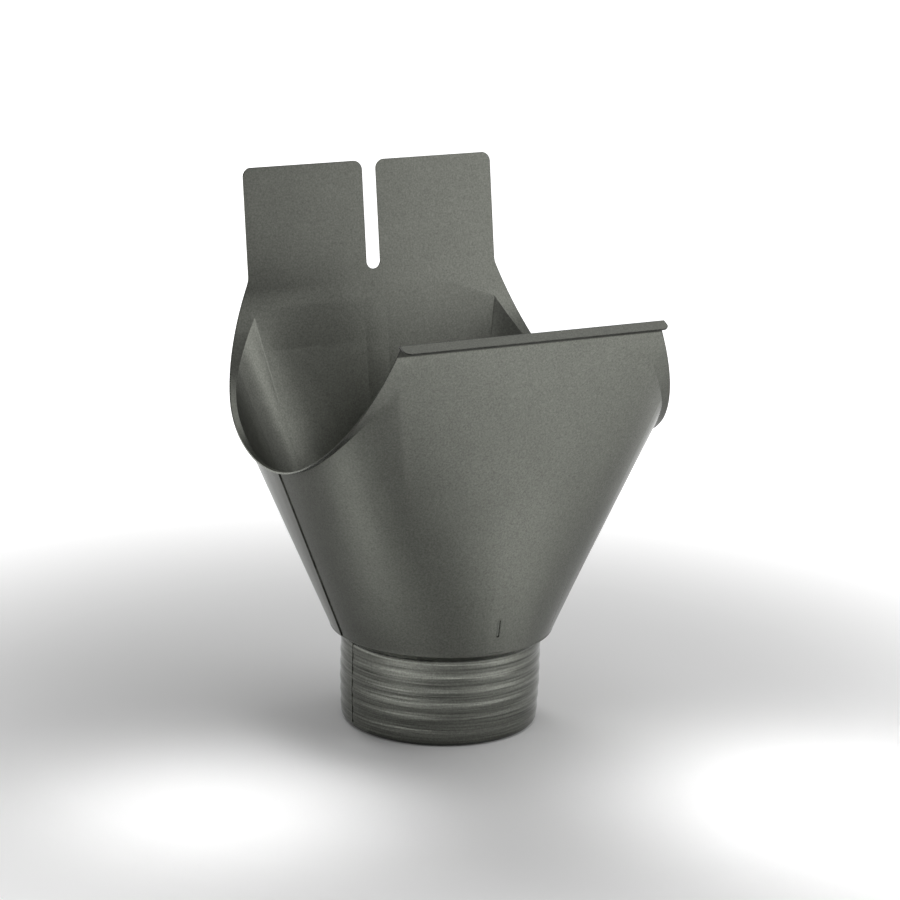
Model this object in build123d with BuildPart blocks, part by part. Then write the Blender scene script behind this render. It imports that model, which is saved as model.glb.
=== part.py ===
from build123d import *
from math import asin, atan2, cos, degrees, hypot, radians, sin, sqrt, tan
import os

os.makedirs("parts", exist_ok=True)

# Driving dimensions in millimetres and degrees.
# The origin is the centre of the spout's lower end, +Z is up, the gutter runs along X
# and the hook lip is on the front, at -Y.

# Sheet
sheet = 0.7

# Gutter that the outlet hangs in
saddle_radius = 77.5
gutter_axis_height = 211.2

# Spout that goes into the downpipe
spout_tip_radius = 47.0
spout_neck_radius = 47.85
taper_height = 19.5
neck_height = 42.6
tip_roll = 2.8
ring_count = 6
ring_top_height = 39.6
ring_pitch = 6.7
ring_width = 4.6
ring_rise = 0.22
neck_corner = 0.9
shoulder_corner = 1.1
shoulder_drop = 0.9

# Funnel: a round foot below, and a top section with straight front and back
foot_radius = 53.75
foot_height = 47.5
panel_half_width = 68.8
panel_bend = 5.0
upper_arc_radius = 65.7
upper_arc_end = 25.0
corner_arc_radius = 42.7
corner_arc_end = 65.0

# Saddle rim, seen from the front
fold_height = 206.2
rim_half_width = 95.5
rim_corner_height = 136.5
rim_corner = 90.0

# Hook lip along the front fold
lip_length = 7.2
lip_half_width = 68.4
lip_bend_radius = 0.6
lip_slope = 24.0
lip_corner = 3.4

# Back plate and its two tabs
tab_base_height = 203.5
tab_top_height = 256.9
tab_half_width = 67.5
base_corner = 10.0
tab_corner = 4.6
slot_width = 7.5
slot_bottom_height = 204.5

# Lap seam down the left side, its cut edge facing the front
lap_step = 0.6
lap_spout_step = 0.35
lap_width = 11.5
lap_top_y = -16.0
lap_foot_y = -1.0
lap_root = 0.3
lap_tip_height = 2.8
lap_spans = 4

# Centre mark stamped above the front of the foot
mark_length = 8.8
mark_width = 1.5
mark_depth = 0.4
mark_height = 59.8

# The front and back panels are tangent to the gutter and end on the flats of the foot
foot_flat_y = foot_radius * cos(radians(panel_bend))
axis_drop = gutter_axis_height - foot_height
panel_tilt = degrees(
    asin((saddle_radius + sheet) / hypot(foot_flat_y, axis_drop)) - atan2(foot_flat_y, axis_drop)
)
wall_run = sheet / cos(radians(panel_tilt))
tangent_y = saddle_radius * cos(radians(panel_tilt))
tangent_z = gutter_axis_height - saddle_radius * sin(radians(panel_tilt))


def panel_y(height):
    """Distance of the panels' gutter side from the middle plane at a height."""
    return tangent_y + (height - tangent_z) * tan(radians(panel_tilt))


# The side arc closes each quarter of the funnel's top section on the middle plane
funnel_top_height = tangent_z
top_flat_y = tangent_y + wall_run
bend_cos = cos(radians(panel_bend))
upper_cos = cos(radians(upper_arc_end))
corner_cos = cos(radians(corner_arc_end))
side_arc_radius = (
    top_flat_y
    - upper_arc_radius * (bend_cos - upper_cos)
    - corner_arc_radius * (upper_cos - corner_cos)
) / corner_cos
top_half_width = (
    panel_half_width
    + upper_arc_radius * (sin(radians(upper_arc_end)) - sin(radians(panel_bend)))
    + corner_arc_radius * (sin(radians(corner_arc_end)) - sin(radians(upper_arc_end)))
    + side_arc_radius * (1 - sin(radians(corner_arc_end)))
)


def funnel_section(height, flat_half_width, flat_y, radii, inset):
    """Level section of the funnel: straight front and back, three tangent arcs per quarter."""
    turns = [upper_arc_end - panel_bend, corner_arc_end - upper_arc_end, 90 - corner_arc_end]
    with BuildSketch(Plane.XY.offset(height)) as section:
        with BuildLine():
            flat = Line((0, -flat_y), (flat_half_width, -flat_y))
            end = flat @ 1
            heading = Vector(bend_cos, sin(radians(panel_bend)))
            for radius, turn in zip(radii, turns):
                arc = JernArc(start=end, tangent=heading, radius=radius, arc_size=turn)
                end = arc @ 1
                heading = arc % 1
            mirror(about=Plane.XZ)
            mirror(about=Plane.YZ)
        make_face()
        if inset:
            offset(amount=-inset, kind=Kind.INTERSECTION, mode=Mode.REPLACE)
    return section.sketch


def funnel_sections(inset=0):
    """Foot and top section of the funnel, set in by a wall where asked."""
    foot_flat = foot_radius * sin(radians(panel_bend))
    foot = funnel_section(foot_height, foot_flat, foot_flat_y, [foot_radius] * 3, inset)
    top_radii = [upper_arc_radius, corner_arc_radius, side_arc_radius]
    top = funnel_section(funnel_top_height, panel_half_width, top_flat_y, top_radii, inset)
    return [foot, top]


def saddle_line(front_height, back_height):
    """Gutter side of the saddle seen from the side: back plate, bowl and front panel."""
    back = Line((panel_y(back_height), back_height), (tangent_y, tangent_z))
    bottom = (0, gutter_axis_height - saddle_radius)
    bowl = ThreePointArc(back @ 1, bottom, (-tangent_y, tangent_z))
    front = Line(bowl @ 1, (-panel_y(front_height), front_height))
    return back, front


def lap_section(height, side_x, side_radius, edge_y, step):
    """Level section of the lap seam: the outer sheet rises over its width to the cut edge."""

    def wall(y, rise):
        return (-side_x + side_radius - sqrt(side_radius**2 - y**2) - rise, y)

    flush_y = edge_y + lap_width
    middle_y = edge_y + lap_width / 2
    with BuildSketch(Plane.XY.offset(height)) as section:
        with BuildLine():
            outside = ThreePointArc(
                wall(flush_y, 0), wall(middle_y, step / 2), wall(edge_y, step)
            )
            inside = ThreePointArc(
                wall(flush_y, -lap_root), wall(middle_y, -lap_root), wall(edge_y, -lap_root)
            )
            Line(outside @ 0, inside @ 0)
            Line(outside @ 1, inside @ 1)
        make_face()
    return section.sketch


def funnel_lap_section(share):
    """Lap seam on the funnel wall at a share of the way from the foot to the top section."""
    height = foot_height + share * (funnel_top_height - foot_height)
    side_x = foot_radius + share * (top_half_width - foot_radius)
    side_radius = foot_radius + share * (side_arc_radius - foot_radius)
    edge_y = lap_foot_y + share * (lap_top_y - lap_foot_y)
    return lap_section(height, side_x, side_radius, edge_y, lap_step)


def spout_radius(height):
    """Outside radius of the spout wall between its rings: straight, then drawn in to the tip."""
    straight_share = min(height / taper_height, 1)
    return spout_tip_radius + (spout_neck_radius - spout_tip_radius) * straight_share


# Outline of the sheet above the foot, seen from the front
with BuildPart() as outline:
    with BuildSketch(Plane.XZ):
        with BuildLine():
            half = FilletPolyline(
                (0, foot_height),
                (rim_half_width, foot_height),
                (rim_half_width, rim_corner_height),
                (tab_half_width, tab_base_height),
                (tab_half_width, tab_top_height),
                (0, tab_top_height),
                radius=[0, rim_corner, base_corner, tab_corner],
            )
            Line(half @ 0, half @ 1)
        make_face()
        mirror(about=Plane.YZ)
    extrude(amount=panel_y(tab_top_height) + 2 * sheet, both=True)

# Funnel as a full body, outside of the gutter
with BuildPart() as funnel:
    loft(funnel_sections(), ruled=True)
    loft([funnel_lap_section(station / lap_spans) for station in range(lap_spans + 1)], ruled=True)
    with BuildSketch(Plane.YZ):
        with BuildLine():
            back, front = saddle_line(fold_height, fold_height)
            Line(front @ 1, back @ 0)
        make_face()
    extrude(amount=top_half_width + lap_step + 1, both=True, mode=Mode.SUBTRACT)
    add(outline.part, mode=Mode.INTERSECT)

# Inside of the funnel, from the foot to the gutter
with BuildPart() as funnel_space:
    loft(funnel_sections(inset=wall_run), ruled=True)

# Spout and shoulder as one turned sheet with shallow rings
with BuildPart() as spout:
    with BuildSketch(Plane.XZ):
        with BuildLine():
            ring_start = ring_top_height + ring_width / 2
            wall = FilletPolyline(
                (foot_radius, foot_height),
                (foot_radius, foot_height - shoulder_drop),
                (spout_neck_radius, neck_height),
                (spout_radius(ring_start), ring_start),
                radius=[shoulder_corner, neck_corner],
            )
            end = wall @ 1
            for ring in range(ring_count):
                middle = ring_top_height - ring * ring_pitch
                low = middle - ring_width / 2
                bead = ThreePointArc(
                    end,
                    (spout_radius(middle) + ring_rise, middle),
                    (spout_radius(low), low),
                )
                end = bead @ 1
                if ring < ring_count - 1:
                    next_top = middle - ring_pitch + ring_width / 2
                else:
                    next_top = tip_roll
                land = Line(end, (spout_radius(next_top), next_top))
                end = land @ 1
            JernArc(start=end, tangent=(0, -1), radius=tip_roll, arc_size=-90)
            offset(amount=wall_run, side=Side.RIGHT)
        make_face()
    revolve(axis=Axis.Z)

# Hook lip: the top edge of the front panel folded outward and down, with rounded free corners
with BuildPart() as lip:
    with BuildSketch(Plane.YZ):
        with BuildLine():
            bend = lip_bend_radius + sheet
            fold_start = fold_height - bend * (1 - sin(radians(panel_tilt)))
            fold = JernArc(
                start=(-panel_y(fold_start), fold_start),
                tangent=(-sin(radians(panel_tilt)), cos(radians(panel_tilt))),
                radius=bend,
                arc_size=90 - panel_tilt + lip_slope,
            )
            Line(fold @ 1, fold @ 1 + (fold % 1) * (lip_length - bend))
            offset(amount=sheet, side=Side.LEFT)
        make_face()
    extrude(amount=lip_half_width, both=True)
    tip_edges = lip.edges().filter_by(lambda edge: edge.length < 2 * sheet).sort_by(Axis.Y)
    fillet(tip_edges[:2], radius=lip_corner)

# The whole sheet: the saddle's side profile is drawn out along the gutter, trimmed to the outline
# and joined to the lip, then joined to the funnel and the spout and opened through
with BuildPart() as outlet_body:
    with BuildSketch(Plane.YZ):
        with BuildLine():
            back, front = saddle_line(fold_start, tab_top_height)
            offset(amount=sheet, side=Side.LEFT)
        make_face()
    extrude(amount=rim_half_width + 1, both=True)
    add(outline.part, mode=Mode.INTERSECT)
    add(lip.part)

    # Slot between the tabs, open at the top with rounded mouth corners
    with BuildSketch(Plane.XZ):
        slot_length = tab_top_height - slot_bottom_height + slot_width
        with Locations((0, slot_bottom_height + slot_length / 2)):
            SlotOverall(slot_length, slot_width, rotation=90)
    extrude(amount=-panel_y(tab_top_height) - sheet, mode=Mode.SUBTRACT)
    mouth = outlet_body.edges().filter_by(lambda edge: abs(edge.center().X) < slot_width)
    mouth_corners = mouth.filter_by(lambda edge: edge.length < 2 * sheet).sort_by(Axis.Z)[-2:]
    fillet(mouth_corners, radius=tab_corner)

    add(funnel.part)
    add(funnel_space.part, mode=Mode.SUBTRACT)
    add(spout.part)

    # Stamped centre mark on the front panel
    outside_y = -panel_y(mark_height) - wall_run
    outward = (0, -cos(radians(panel_tilt)), -sin(radians(panel_tilt)))
    mark_plane = Plane(origin=(0, outside_y, mark_height), x_dir=(1, 0, 0), z_dir=outward)
    with BuildSketch(mark_plane):
        SlotOverall(mark_length, mark_width, rotation=90)
    extrude(amount=-mark_depth, mode=Mode.SUBTRACT)

    # Lap seam over the shoulder and the spout, pressed thinner where the spout is rolled
    tip_radius = spout_radius(lap_tip_height)
    spout_stations = [
        (lap_tip_height, tip_radius),
        (taper_height, spout_neck_radius),
        (neck_height, spout_neck_radius),
    ]
    lap_on_spout = [
        lap_section(height, radius, radius, lap_foot_y, lap_spout_step)
        for height, radius in spout_stations
    ]
    loft([*lap_on_spout, funnel_lap_section(0)], ruled=True)

outlet_body.part.label = "outlet_body"
export_step(outlet_body.part, "parts/outlet_body.step")
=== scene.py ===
from math import cos, radians, sin

import bpy
from mathutils import Matrix, Vector

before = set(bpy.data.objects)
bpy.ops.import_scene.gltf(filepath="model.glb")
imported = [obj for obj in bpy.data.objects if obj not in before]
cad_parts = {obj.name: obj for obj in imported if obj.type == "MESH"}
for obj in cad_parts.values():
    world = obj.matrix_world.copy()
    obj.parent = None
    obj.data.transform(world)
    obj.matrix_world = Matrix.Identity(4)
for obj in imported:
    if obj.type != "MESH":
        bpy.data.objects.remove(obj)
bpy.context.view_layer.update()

# Camera of the photograph: angles in degrees, lengths in metres
CAMERA_AZIMUTH = -29.12
CAMERA_ELEVATION = 15.12
CAMERA_ROLL = 1.63
CAMERA_DISTANCE = 1.5673
CAMERA_LENS_MM = 132.05
SENSOR_WIDTH_MM = 36
AIM_HEIGHT = 0.120
AIM_RIGHT = 0.0023
AIM_UP = 0.01174

# Lamps: lengths in metres
SOFTBOX_SIDE = 0.9
SOFTBOX_DISTANCE = 1.5
POOL_LAMP_SIDE = 0.12
WIDE_LAMP_DISTANCE = 3

# Floor and room, where 1 is full white and lengths are in metres
ROOM_LIGHT = 0.3
FLOOR_SIDE = 60
FLOOR_PAINT = 0.9
NEAR_FLOOR_WHITE = 0.0
FAR_FLOOR_WHITE = 0.8
NEAR_FLOOR_REACH = 0.12
FAR_FLOOR_START = 0.55

# Zinc sheet. Here and below a tone is a factor on this colour, and places are in metres
ZINC = (0.139, 0.143, 0.127)
SHEET_ROUGHNESS = 0.24
BOWL_ROUGHNESS = 0.28

# Weathering all over: noise scales, and how far each mark takes the tone from one
GRAIN_SCALE = 1200
GRAIN_SWING = 0.18
GRAIN_RELIEF = 0.0000075
CLOUD_SCALE = 60
CLOUD_SWING = 0.03
WORM_SCALE = 330
WORM_LEVEL = 0.47
WORM_WIDTH = 0.012
WORM_DARKNESS = 0.16
NOISE_LOW = 0.3
NOISE_HIGH = 0.7

# Spout, with brush streaks drawn out round it
SPOUT_TOP = 0.0445
SPOUT_FADE = 0.003
SPOUT_ROUGHNESS = 0.12
SPOUT_TONE = 1.25
STREAK_SCALE = 20
STREAK_STRETCH = (1, 1, 50)
STREAK_SWING = 0.5
STREAK_RELIEF = 0.00006

# Edges of the sheet: how well the rounded and the true face agree, and which look sideways
EDGE_WIDTH = 0.0008
EDGE_SAMPLES = 4
EDGE_START = 0.99
EDGE_FULL = 0.88
SIDEWAYS_START = 0.9
SIDEWAYS_FULL = 0.98
BURR_TONE = 0.55
# Sideways cut edges: a painted highlight up to LOW_CUT_EDGE_TOP, painted shade from
# HIGH_CUT_EDGE_START up
LOW_CUT_EDGE_TONE = 2.1
HIGH_CUT_EDGE_TONE = 0.6
LOW_CUT_EDGE_TOP = 0.150
HIGH_CUT_EDGE_START = 0.168

# Painted shade in creases, by the share of open sky that their faces see
CREASE_REACH = 0.006
CREASE_SAMPLES = 4
CREASE_DEEP = 0.45
CREASE_OPEN = 0.95
CREASE_TONE = 0.5

# Patches along the lap seam where the painted crease shade and the edge darkening are weaker:
# beyond its side, near the middle plane, below its top
SEAM_SIDE = -0.045
SEAM_REACH = 0.02
SEAM_TOP = 0.13
SEAM_PATCH_SHADE_KEPT = 0.25
SEAM_PATCH_SCALE = 180
SEAM_PATCH_START = 0.42
SEAM_PATCH_FULL = 0.52
LEAST_SEAM_PATCH = 0.3

# Painted shadow line along the hook lip, on faces whose normal rises less than the given share
LIP_LINE_START = 0.2004
LIP_LINE_FULL = 0.2009
LIP_LINE_RISE = 0.3
LIP_LINE_TONE = 0.28

# Where a rolled corner of the funnel meets its panel, as a point on that line and the
# direction across it, both with all axes counted as positive, and the turn in radians
FOLD_POINT = (0.0644, 0.0708, 0.1759)
FOLD_ACROSS = (0.957, -0.224, -0.184)
FOLD_REACH = 0.014
FOLD_FOOT = 0.05
FOLD_TOP = 0.17
FOLD_END = 0.19
FOOT_TURN = 0.015
TOP_TURN = 0.042


def stand_direction(azimuth, elevation):
    """From the outlet to a camera or lamp, where azimuth 0 is the front and 90 the right."""
    azimuth = radians(azimuth)
    elevation = radians(elevation)
    level = cos(elevation)
    return Vector((sin(azimuth) * level, -cos(azimuth) * level, sin(elevation)))


def photo_camera():
    """Stands in front, to the left of the hook lip, and looks down into the bowl a little."""
    back = stand_direction(CAMERA_AZIMUTH, CAMERA_ELEVATION)
    right = Vector((0, 0, 1)).cross(back).normalized()
    up = back.cross(right)
    roll = radians(CAMERA_ROLL)
    camera_x = cos(roll) * right + sin(roll) * up
    camera_y = cos(roll) * up - sin(roll) * right
    aim = Vector((0, 0, AIM_HEIGHT)) + AIM_RIGHT * camera_x + AIM_UP * camera_y
    bpy.ops.object.camera_add()
    camera = bpy.context.object
    camera.name = "photo_camera"
    camera.data.lens = CAMERA_LENS_MM
    camera.data.sensor_width = SENSOR_WIDTH_MM
    axes = Matrix((camera_x, camera_y, back)).transposed().to_4x4()
    camera.matrix_world = Matrix.Translation(aim + CAMERA_DISTANCE * back) @ axes
    bpy.context.scene.camera = camera


def aim_lamp(lamp, azimuth, elevation, distance):
    """Places a lamp in a direction given in degrees and turns it to the middle of the outlet."""
    back = stand_direction(azimuth, elevation)
    lamp.location = Vector((0, 0, AIM_HEIGHT)) + distance * back
    lamp.rotation_euler = back.to_track_quat("Z", "Y").to_euler()


def soft_lamp(name, side, power):
    """A square lamp that the camera doesn't see."""
    bpy.ops.object.light_add(type="AREA")
    lamp = bpy.context.object
    lamp.name = name
    lamp.visible_camera = False
    lamp.data.shape = "SQUARE"
    lamp.data.size = side
    lamp.data.energy = power
    return lamp


def softbox(name, azimuth, elevation, power):
    """A softbox that looks at the outlet from two arm's lengths away."""
    lamp = soft_lamp(name, SOFTBOX_SIDE, power)
    aim_lamp(lamp, azimuth, elevation, SOFTBOX_DISTANCE)


def floor_pool(name, x, y, height, beam, power):
    """A small lamp straight above the floor, its beam in degrees. The walls mirror its pool."""
    lamp = soft_lamp(name, POOL_LAMP_SIDE, power)
    lamp.data.spread = radians(beam)
    lamp.location = (x, y, height)


def wide_lamp(name, azimuth, elevation, spread, strength):
    """A far, wide lamp that lights the floor evenly, with a soft edge to its shadows."""
    bpy.ops.object.light_add(type="SUN")
    lamp = bpy.context.object
    lamp.name = name
    lamp.data.angle = radians(spread)
    lamp.data.energy = strength
    aim_lamp(lamp, azimuth, elevation, WIDE_LAMP_DISTANCE)


def studio_lights():
    """Soft light from above, behind and the right, and three pools of light on the floor."""
    wide_lamp("back_lamp", azimuth=180, elevation=40, spread=20, strength=0.30)
    softbox("top_softbox", azimuth=0, elevation=85, power=2.0)
    softbox("low_back_softbox", azimuth=178, elevation=8, power=4.5)
    softbox("high_back_softbox", azimuth=120, elevation=55, power=1.2)
    softbox("high_right_softbox", azimuth=90, elevation=55, power=1.7)
    softbox("right_softbox", azimuth=90, elevation=30, power=1.3)
    softbox("front_right_softbox", azimuth=60, elevation=30, power=1.2)
    softbox("low_right_softbox", azimuth=45, elevation=15, power=3.7)
    floor_pool("left_pool", x=-0.15, y=-0.07, height=0.35, beam=30, power=0.038)
    floor_pool("front_pool", x=0.10, y=-0.175, height=0.37, beam=34, power=0.050)
    floor_pool("right_pool", x=0.20, y=-0.28, height=0.50, beam=60, power=0.075)


def pale_world():
    """Plain dim light all round."""
    world = bpy.data.worlds.new("studio_room")
    bpy.context.scene.world = world
    world.use_nodes = True
    background = world.node_tree.nodes["Background"]
    background.inputs["Color"].default_value = (1, 1, 1, 1)
    background.inputs["Strength"].default_value = ROOM_LIGHT


def feed(tree, socket, value):
    """Gives a node's input a number, a vector or another node's output."""
    if isinstance(value, bpy.types.NodeSocket):
        tree.links.new(value, socket)
    else:
        socket.default_value = value


def calculate(tree, operation, first, second=0):
    """Arithmetic on numbers."""
    node = tree.nodes.new("ShaderNodeMath")
    node.operation = operation
    feed(tree, node.inputs[0], first)
    feed(tree, node.inputs[1], second)
    return node.outputs[0]


def product(tree, *factors):
    """Multiplies all its factors."""
    result = factors[0]
    for factor in factors[1:]:
        result = calculate(tree, "MULTIPLY", result, factor)
    return result


def opposite(tree, share):
    """One where a share is nought, and nought where it is one."""
    return calculate(tree, "SUBTRACT", 1, share)


def calculate_vector(tree, operation, first, second=(0, 0, 0)):
    """Arithmetic on vectors. A length or a dot product comes out as a number."""
    node = tree.nodes.new("ShaderNodeVectorMath")
    node.operation = operation
    feed(tree, node.inputs[0], first)
    feed(tree, node.inputs[1], second)
    kind = "Value" if operation in ("LENGTH", "DOT_PRODUCT") else "Vector"
    return node.outputs[kind]


def split(tree, vector):
    """The three axes of a vector by name."""
    node = tree.nodes.new("ShaderNodeSeparateXYZ")
    tree.links.new(vector, node.inputs["Vector"])
    return node.outputs


def rescale(tree, value, from_low, from_high, to_low, to_high):
    """Takes a value from one range to another, clamped at both ends."""
    node = tree.nodes.new("ShaderNodeMapRange")
    feed(tree, node.inputs["Value"], value)
    feed(tree, node.inputs["From Min"], from_low)
    feed(tree, node.inputs["From Max"], from_high)
    feed(tree, node.inputs["To Min"], to_low)
    feed(tree, node.inputs["To Max"], to_high)
    return node.outputs["Result"]


def tone_where(tree, share, tone):
    """The given tone where a share is one, and no change of tone where it is nought."""
    return rescale(tree, share, 0, 1, 1, tone)


def noise(tree, place, scale, detail, stretch=(1, 1, 1)):
    """Noise on the object's own axes, finer along an axis whose stretch is above one."""
    mapping = tree.nodes.new("ShaderNodeMapping")
    mapping.inputs["Scale"].default_value = stretch
    tree.links.new(place, mapping.inputs["Vector"])
    node = tree.nodes.new("ShaderNodeTexNoise")
    node.inputs["Scale"].default_value = scale
    node.inputs["Detail"].default_value = detail
    tree.links.new(mapping.outputs["Vector"], node.inputs["Vector"])
    return node.outputs["Fac"]


def swing(tree, value, reach):
    """Turns noise into a tone that swings round one by the given reach."""
    darkest = opposite(tree, reach)
    lightest = calculate(tree, "ADD", 1, reach)
    return rescale(tree, value, NOISE_LOW, NOISE_HIGH, darkest, lightest)


def pale_floor():
    """A wide matt floor that turns white farther off, for the camera, metal and glass alike."""
    bpy.ops.mesh.primitive_plane_add(size=FLOOR_SIDE, location=(0, 0, 0))
    floor = bpy.context.object
    floor.name = "floor"
    paint = bpy.data.materials.new("pale_floor")
    paint.use_nodes = True
    tree = paint.node_tree
    shader = tree.nodes["Principled BSDF"]
    shader.inputs["Base Color"].default_value = (FLOOR_PAINT, FLOOR_PAINT, FLOOR_PAINT, 1)
    shader.inputs["Roughness"].default_value = 1.0
    shader.inputs["Specular IOR Level"].default_value = 0.0
    shader.inputs["Emission Color"].default_value = (1, 1, 1, 1)
    ray = tree.nodes.new("ShaderNodeLightPath").outputs
    seen = calculate(tree, "MAXIMUM", ray["Is Camera Ray"], ray["Is Glossy Ray"])
    seen = calculate(tree, "MAXIMUM", seen, ray["Is Transmission Ray"])
    place = tree.nodes.new("ShaderNodeTexCoord").outputs["Object"]
    away = calculate_vector(tree, "LENGTH", place)
    glow = rescale(
        tree, away, NEAR_FLOOR_REACH, FAR_FLOOR_START, NEAR_FLOOR_WHITE, FAR_FLOOR_WHITE
    )
    glow.node.interpolation_type = "SMOOTHERSTEP"
    tree.links.new(product(tree, seen, glow), shader.inputs["Emission Strength"])
    floor.data.materials.append(paint)


def sheet_edges(tree, normal):
    """One along the sheet's edges, nought on its faces."""
    rounded = tree.nodes.new("ShaderNodeBevel")
    rounded.samples = EDGE_SAMPLES
    rounded.inputs["Radius"].default_value = EDGE_WIDTH
    match = calculate_vector(tree, "DOT_PRODUCT", rounded.outputs["Normal"], normal)
    return rescale(tree, match, EDGE_START, EDGE_FULL, 0, 1)


def facing_sideways(tree, normal):
    """One on faces that look squarely left or right."""
    sideways = calculate(tree, "ABSOLUTE", split(tree, normal)["X"])
    return rescale(tree, sideways, SIDEWAYS_START, SIDEWAYS_FULL, 0, 1)


def facing_inside(tree, place, normal):
    """One on faces that look towards the outlet's middle axis, nought on those that look out."""
    level = calculate_vector(tree, "MULTIPLY", place, (1, 1, 0))
    outwards = calculate_vector(tree, "DOT_PRODUCT", level, normal)
    return calculate(tree, "LESS_THAN", outwards, 0)


def crease_painted_shade(tree):
    """Painted shade: a darker tone deep in creases and seams, where little open sky reaches."""
    shade = tree.nodes.new("ShaderNodeAmbientOcclusion")
    shade.samples = CREASE_SAMPLES
    shade.inputs["Distance"].default_value = CREASE_REACH
    return rescale(tree, shade.outputs["AO"], CREASE_DEEP, CREASE_OPEN, CREASE_TONE, 1)


def seam_shade_patches(tree, place):
    """One in patches along the lap seam down the left side, less between, nought elsewhere; there
    the painted shade is weakened.
    """
    at = split(tree, place)
    beside = calculate(tree, "LESS_THAN", calculate(tree, "ABSOLUTE", at["Y"]), SEAM_REACH)
    left = calculate(tree, "LESS_THAN", at["X"], SEAM_SIDE)
    low = calculate(tree, "LESS_THAN", at["Z"], SEAM_TOP)
    spots = noise(tree, place, SEAM_PATCH_SCALE, detail=1)
    patch_share = rescale(tree, spots, SEAM_PATCH_START, SEAM_PATCH_FULL, LEAST_SEAM_PATCH, 1)
    return product(tree, beside, left, low, patch_share)


def lip_painted_shadow(tree, place, normal, inner):
    """One on the hook lip's cut edge and in the corner under it, where a shadow is painted."""
    at = split(tree, place)
    high = rescale(tree, at["Z"], LIP_LINE_START, LIP_LINE_FULL, 0, 1)
    front = calculate(tree, "LESS_THAN", at["Y"], 0)
    steep = calculate(tree, "LESS_THAN", split(tree, normal)["Z"], LIP_LINE_RISE)
    return product(tree, high, front, steep, opposite(tree, inner))


def weathering(tree, place, grain):
    """Fine grain, faint clouds and short dark worm marks."""
    clouds = noise(tree, place, CLOUD_SCALE, detail=3)
    ripples = noise(tree, place, WORM_SCALE, detail=1)
    from_worm = calculate(tree, "ABSOLUTE", calculate(tree, "SUBTRACT", ripples, WORM_LEVEL))
    worms = rescale(tree, from_worm, 0, WORM_WIDTH, 1 - WORM_DARKNESS, 1)
    return product(
        tree, swing(tree, grain, GRAIN_SWING), swing(tree, clouds, CLOUD_SWING), worms
    )


def burnishing(tree, streaks, on_spout):
    """Light metal with streaks on the spout, no change elsewhere."""
    reach = product(tree, on_spout, STREAK_SWING)
    return product(tree, swing(tree, streaks, reach), tone_where(tree, on_spout, SPOUT_TONE))


def edge_shade_and_highlight(tree, place, normal):
    """Painted shade in the creases, a darker band along the edges of the faces, both weaker in
    patches on the lap seam, and cut edges with a painted highlight low down and painted shade high
    up.
    """
    edge = sheet_edges(tree, normal)
    sideways = facing_sideways(tree, normal)
    burr = product(tree, edge, opposite(tree, sideways))
    shade_and_edge_tone = product(tree, crease_painted_shade(tree), tone_where(tree, burr, BURR_TONE))
    seam_shade_share = tone_where(tree, seam_shade_patches(tree, place), SEAM_PATCH_SHADE_KEPT)
    shade_and_edge_darkening = product(tree, opposite(tree, shade_and_edge_tone), seam_shade_share)
    height = split(tree, place)["Z"]
    # Cut edges: painted highlight low down, painted shade high up
    cut_tone = rescale(
        tree, height, LOW_CUT_EDGE_TOP, HIGH_CUT_EDGE_START, LOW_CUT_EDGE_TONE, HIGH_CUT_EDGE_TONE
    )
    cut = tone_where(tree, product(tree, edge, sideways), cut_tone)
    return product(tree, opposite(tree, shade_and_edge_darkening), cut)


def soft_folds(tree, place, inner):
    """Height inside the bowl that lets its rolled corners turn gently into its panels.

    It rises to the fold from both sides, ever steeper, so that there both faces look the
    same way.
    """
    corner = calculate_vector(tree, "ABSOLUTE", place)
    from_fold = calculate_vector(tree, "SUBTRACT", corner, FOLD_POINT)
    across = calculate_vector(tree, "DOT_PRODUCT", from_fold, FOLD_ACROSS)
    share = rescale(tree, calculate(tree, "ABSOLUTE", across), 0, FOLD_REACH, 0, 1)
    rise = calculate(tree, "SUBTRACT", share, product(tree, share, share, 0.5))
    height = split(tree, place)["Z"]
    turn = rescale(tree, height, FOLD_FOOT, FOLD_TOP, FOOT_TURN, TOP_TURN)
    ending = rescale(tree, height, FOLD_TOP, FOLD_END, 1, 0)
    return product(tree, rise, turn, ending, inner, -FOLD_REACH)


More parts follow.
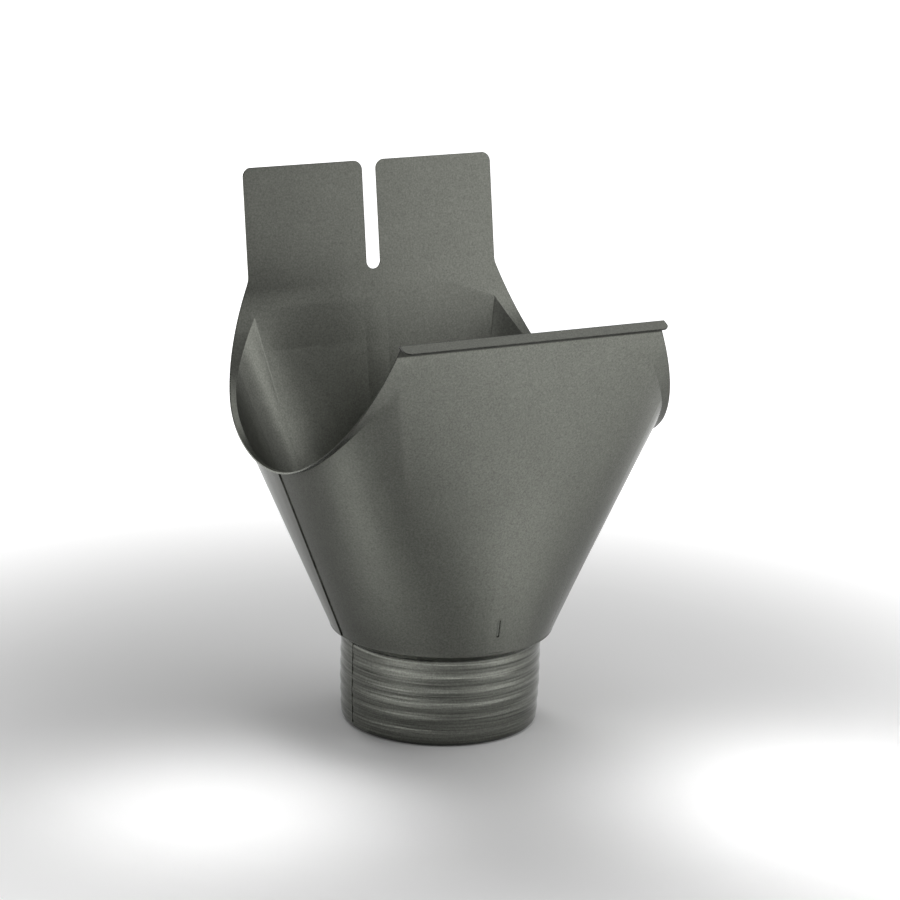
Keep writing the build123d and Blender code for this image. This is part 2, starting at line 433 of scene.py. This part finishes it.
def zinc_sheet():
    """Weathered zinc: satin grey metal with a fine grain, with painted shade in the creases, a
    painted shadow under the hook lip, and cut edges with a painted highlight low down.

    The spout is burnished round and round by the rolls, so it is smoother and streaked.
    """
    metal = bpy.data.materials.new("zinc_sheet")
    metal.use_nodes = True
    tree = metal.node_tree
    shader = tree.nodes["Principled BSDF"]
    shader.inputs["Metallic"].default_value = 1.0
    place = tree.nodes.new("ShaderNodeTexCoord").outputs["Object"]
    normal = tree.nodes.new("ShaderNodeNewGeometry").outputs["Normal"]
    height = split(tree, place)["Z"]
    on_spout = rescale(tree, height, SPOUT_TOP, SPOUT_TOP - SPOUT_FADE, 0, 1)
    inner = facing_inside(tree, place, normal)
    grain = noise(tree, place, GRAIN_SCALE, detail=2)
    streaks = noise(tree, place, STREAK_SCALE, detail=6, stretch=STREAK_STRETCH)

    tone = product(
        tree,
        weathering(tree, place, grain),
        burnishing(tree, streaks, on_spout),
        # painted shade in creases, painted highlight and shade on cut edges
        edge_shade_and_highlight(tree, place, normal),
        # painted shadow under the hook lip
        tone_where(tree, lip_painted_shadow(tree, place, normal, inner), LIP_LINE_TONE),
    )
    tree.links.new(calculate_vector(tree, "MULTIPLY", ZINC, tone), shader.inputs["Base Color"])

    sheet_polish = rescale(tree, inner, 0, 1, SHEET_ROUGHNESS, BOWL_ROUGHNESS)
    polish = rescale(tree, on_spout, 0, 1, sheet_polish, SPOUT_ROUGHNESS)
    tree.links.new(polish, shader.inputs["Roughness"])

    brushed = product(tree, streaks, on_spout, STREAK_RELIEF)
    relief = calculate(tree, "ADD", brushed, product(tree, grain, GRAIN_RELIEF))
    relief = calculate(tree, "ADD", relief, soft_folds(tree, place, inner))
    bump = tree.nodes.new("ShaderNodeBump")
    bump.inputs["Strength"].default_value = 1.0
    bump.inputs["Distance"].default_value = 1.0
    tree.links.new(relief, bump.inputs["Height"])
    tree.links.new(bump.outputs["Normal"], shader.inputs["Normal"])
    return metal


photo_camera()
studio_lights()
pale_world()
pale_floor()

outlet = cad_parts["outlet_body"]
outlet.data.materials.clear()
outlet.data.materials.append(zinc_sheet())

scene = bpy.context.scene
scene.view_settings.view_transform = "Standard"
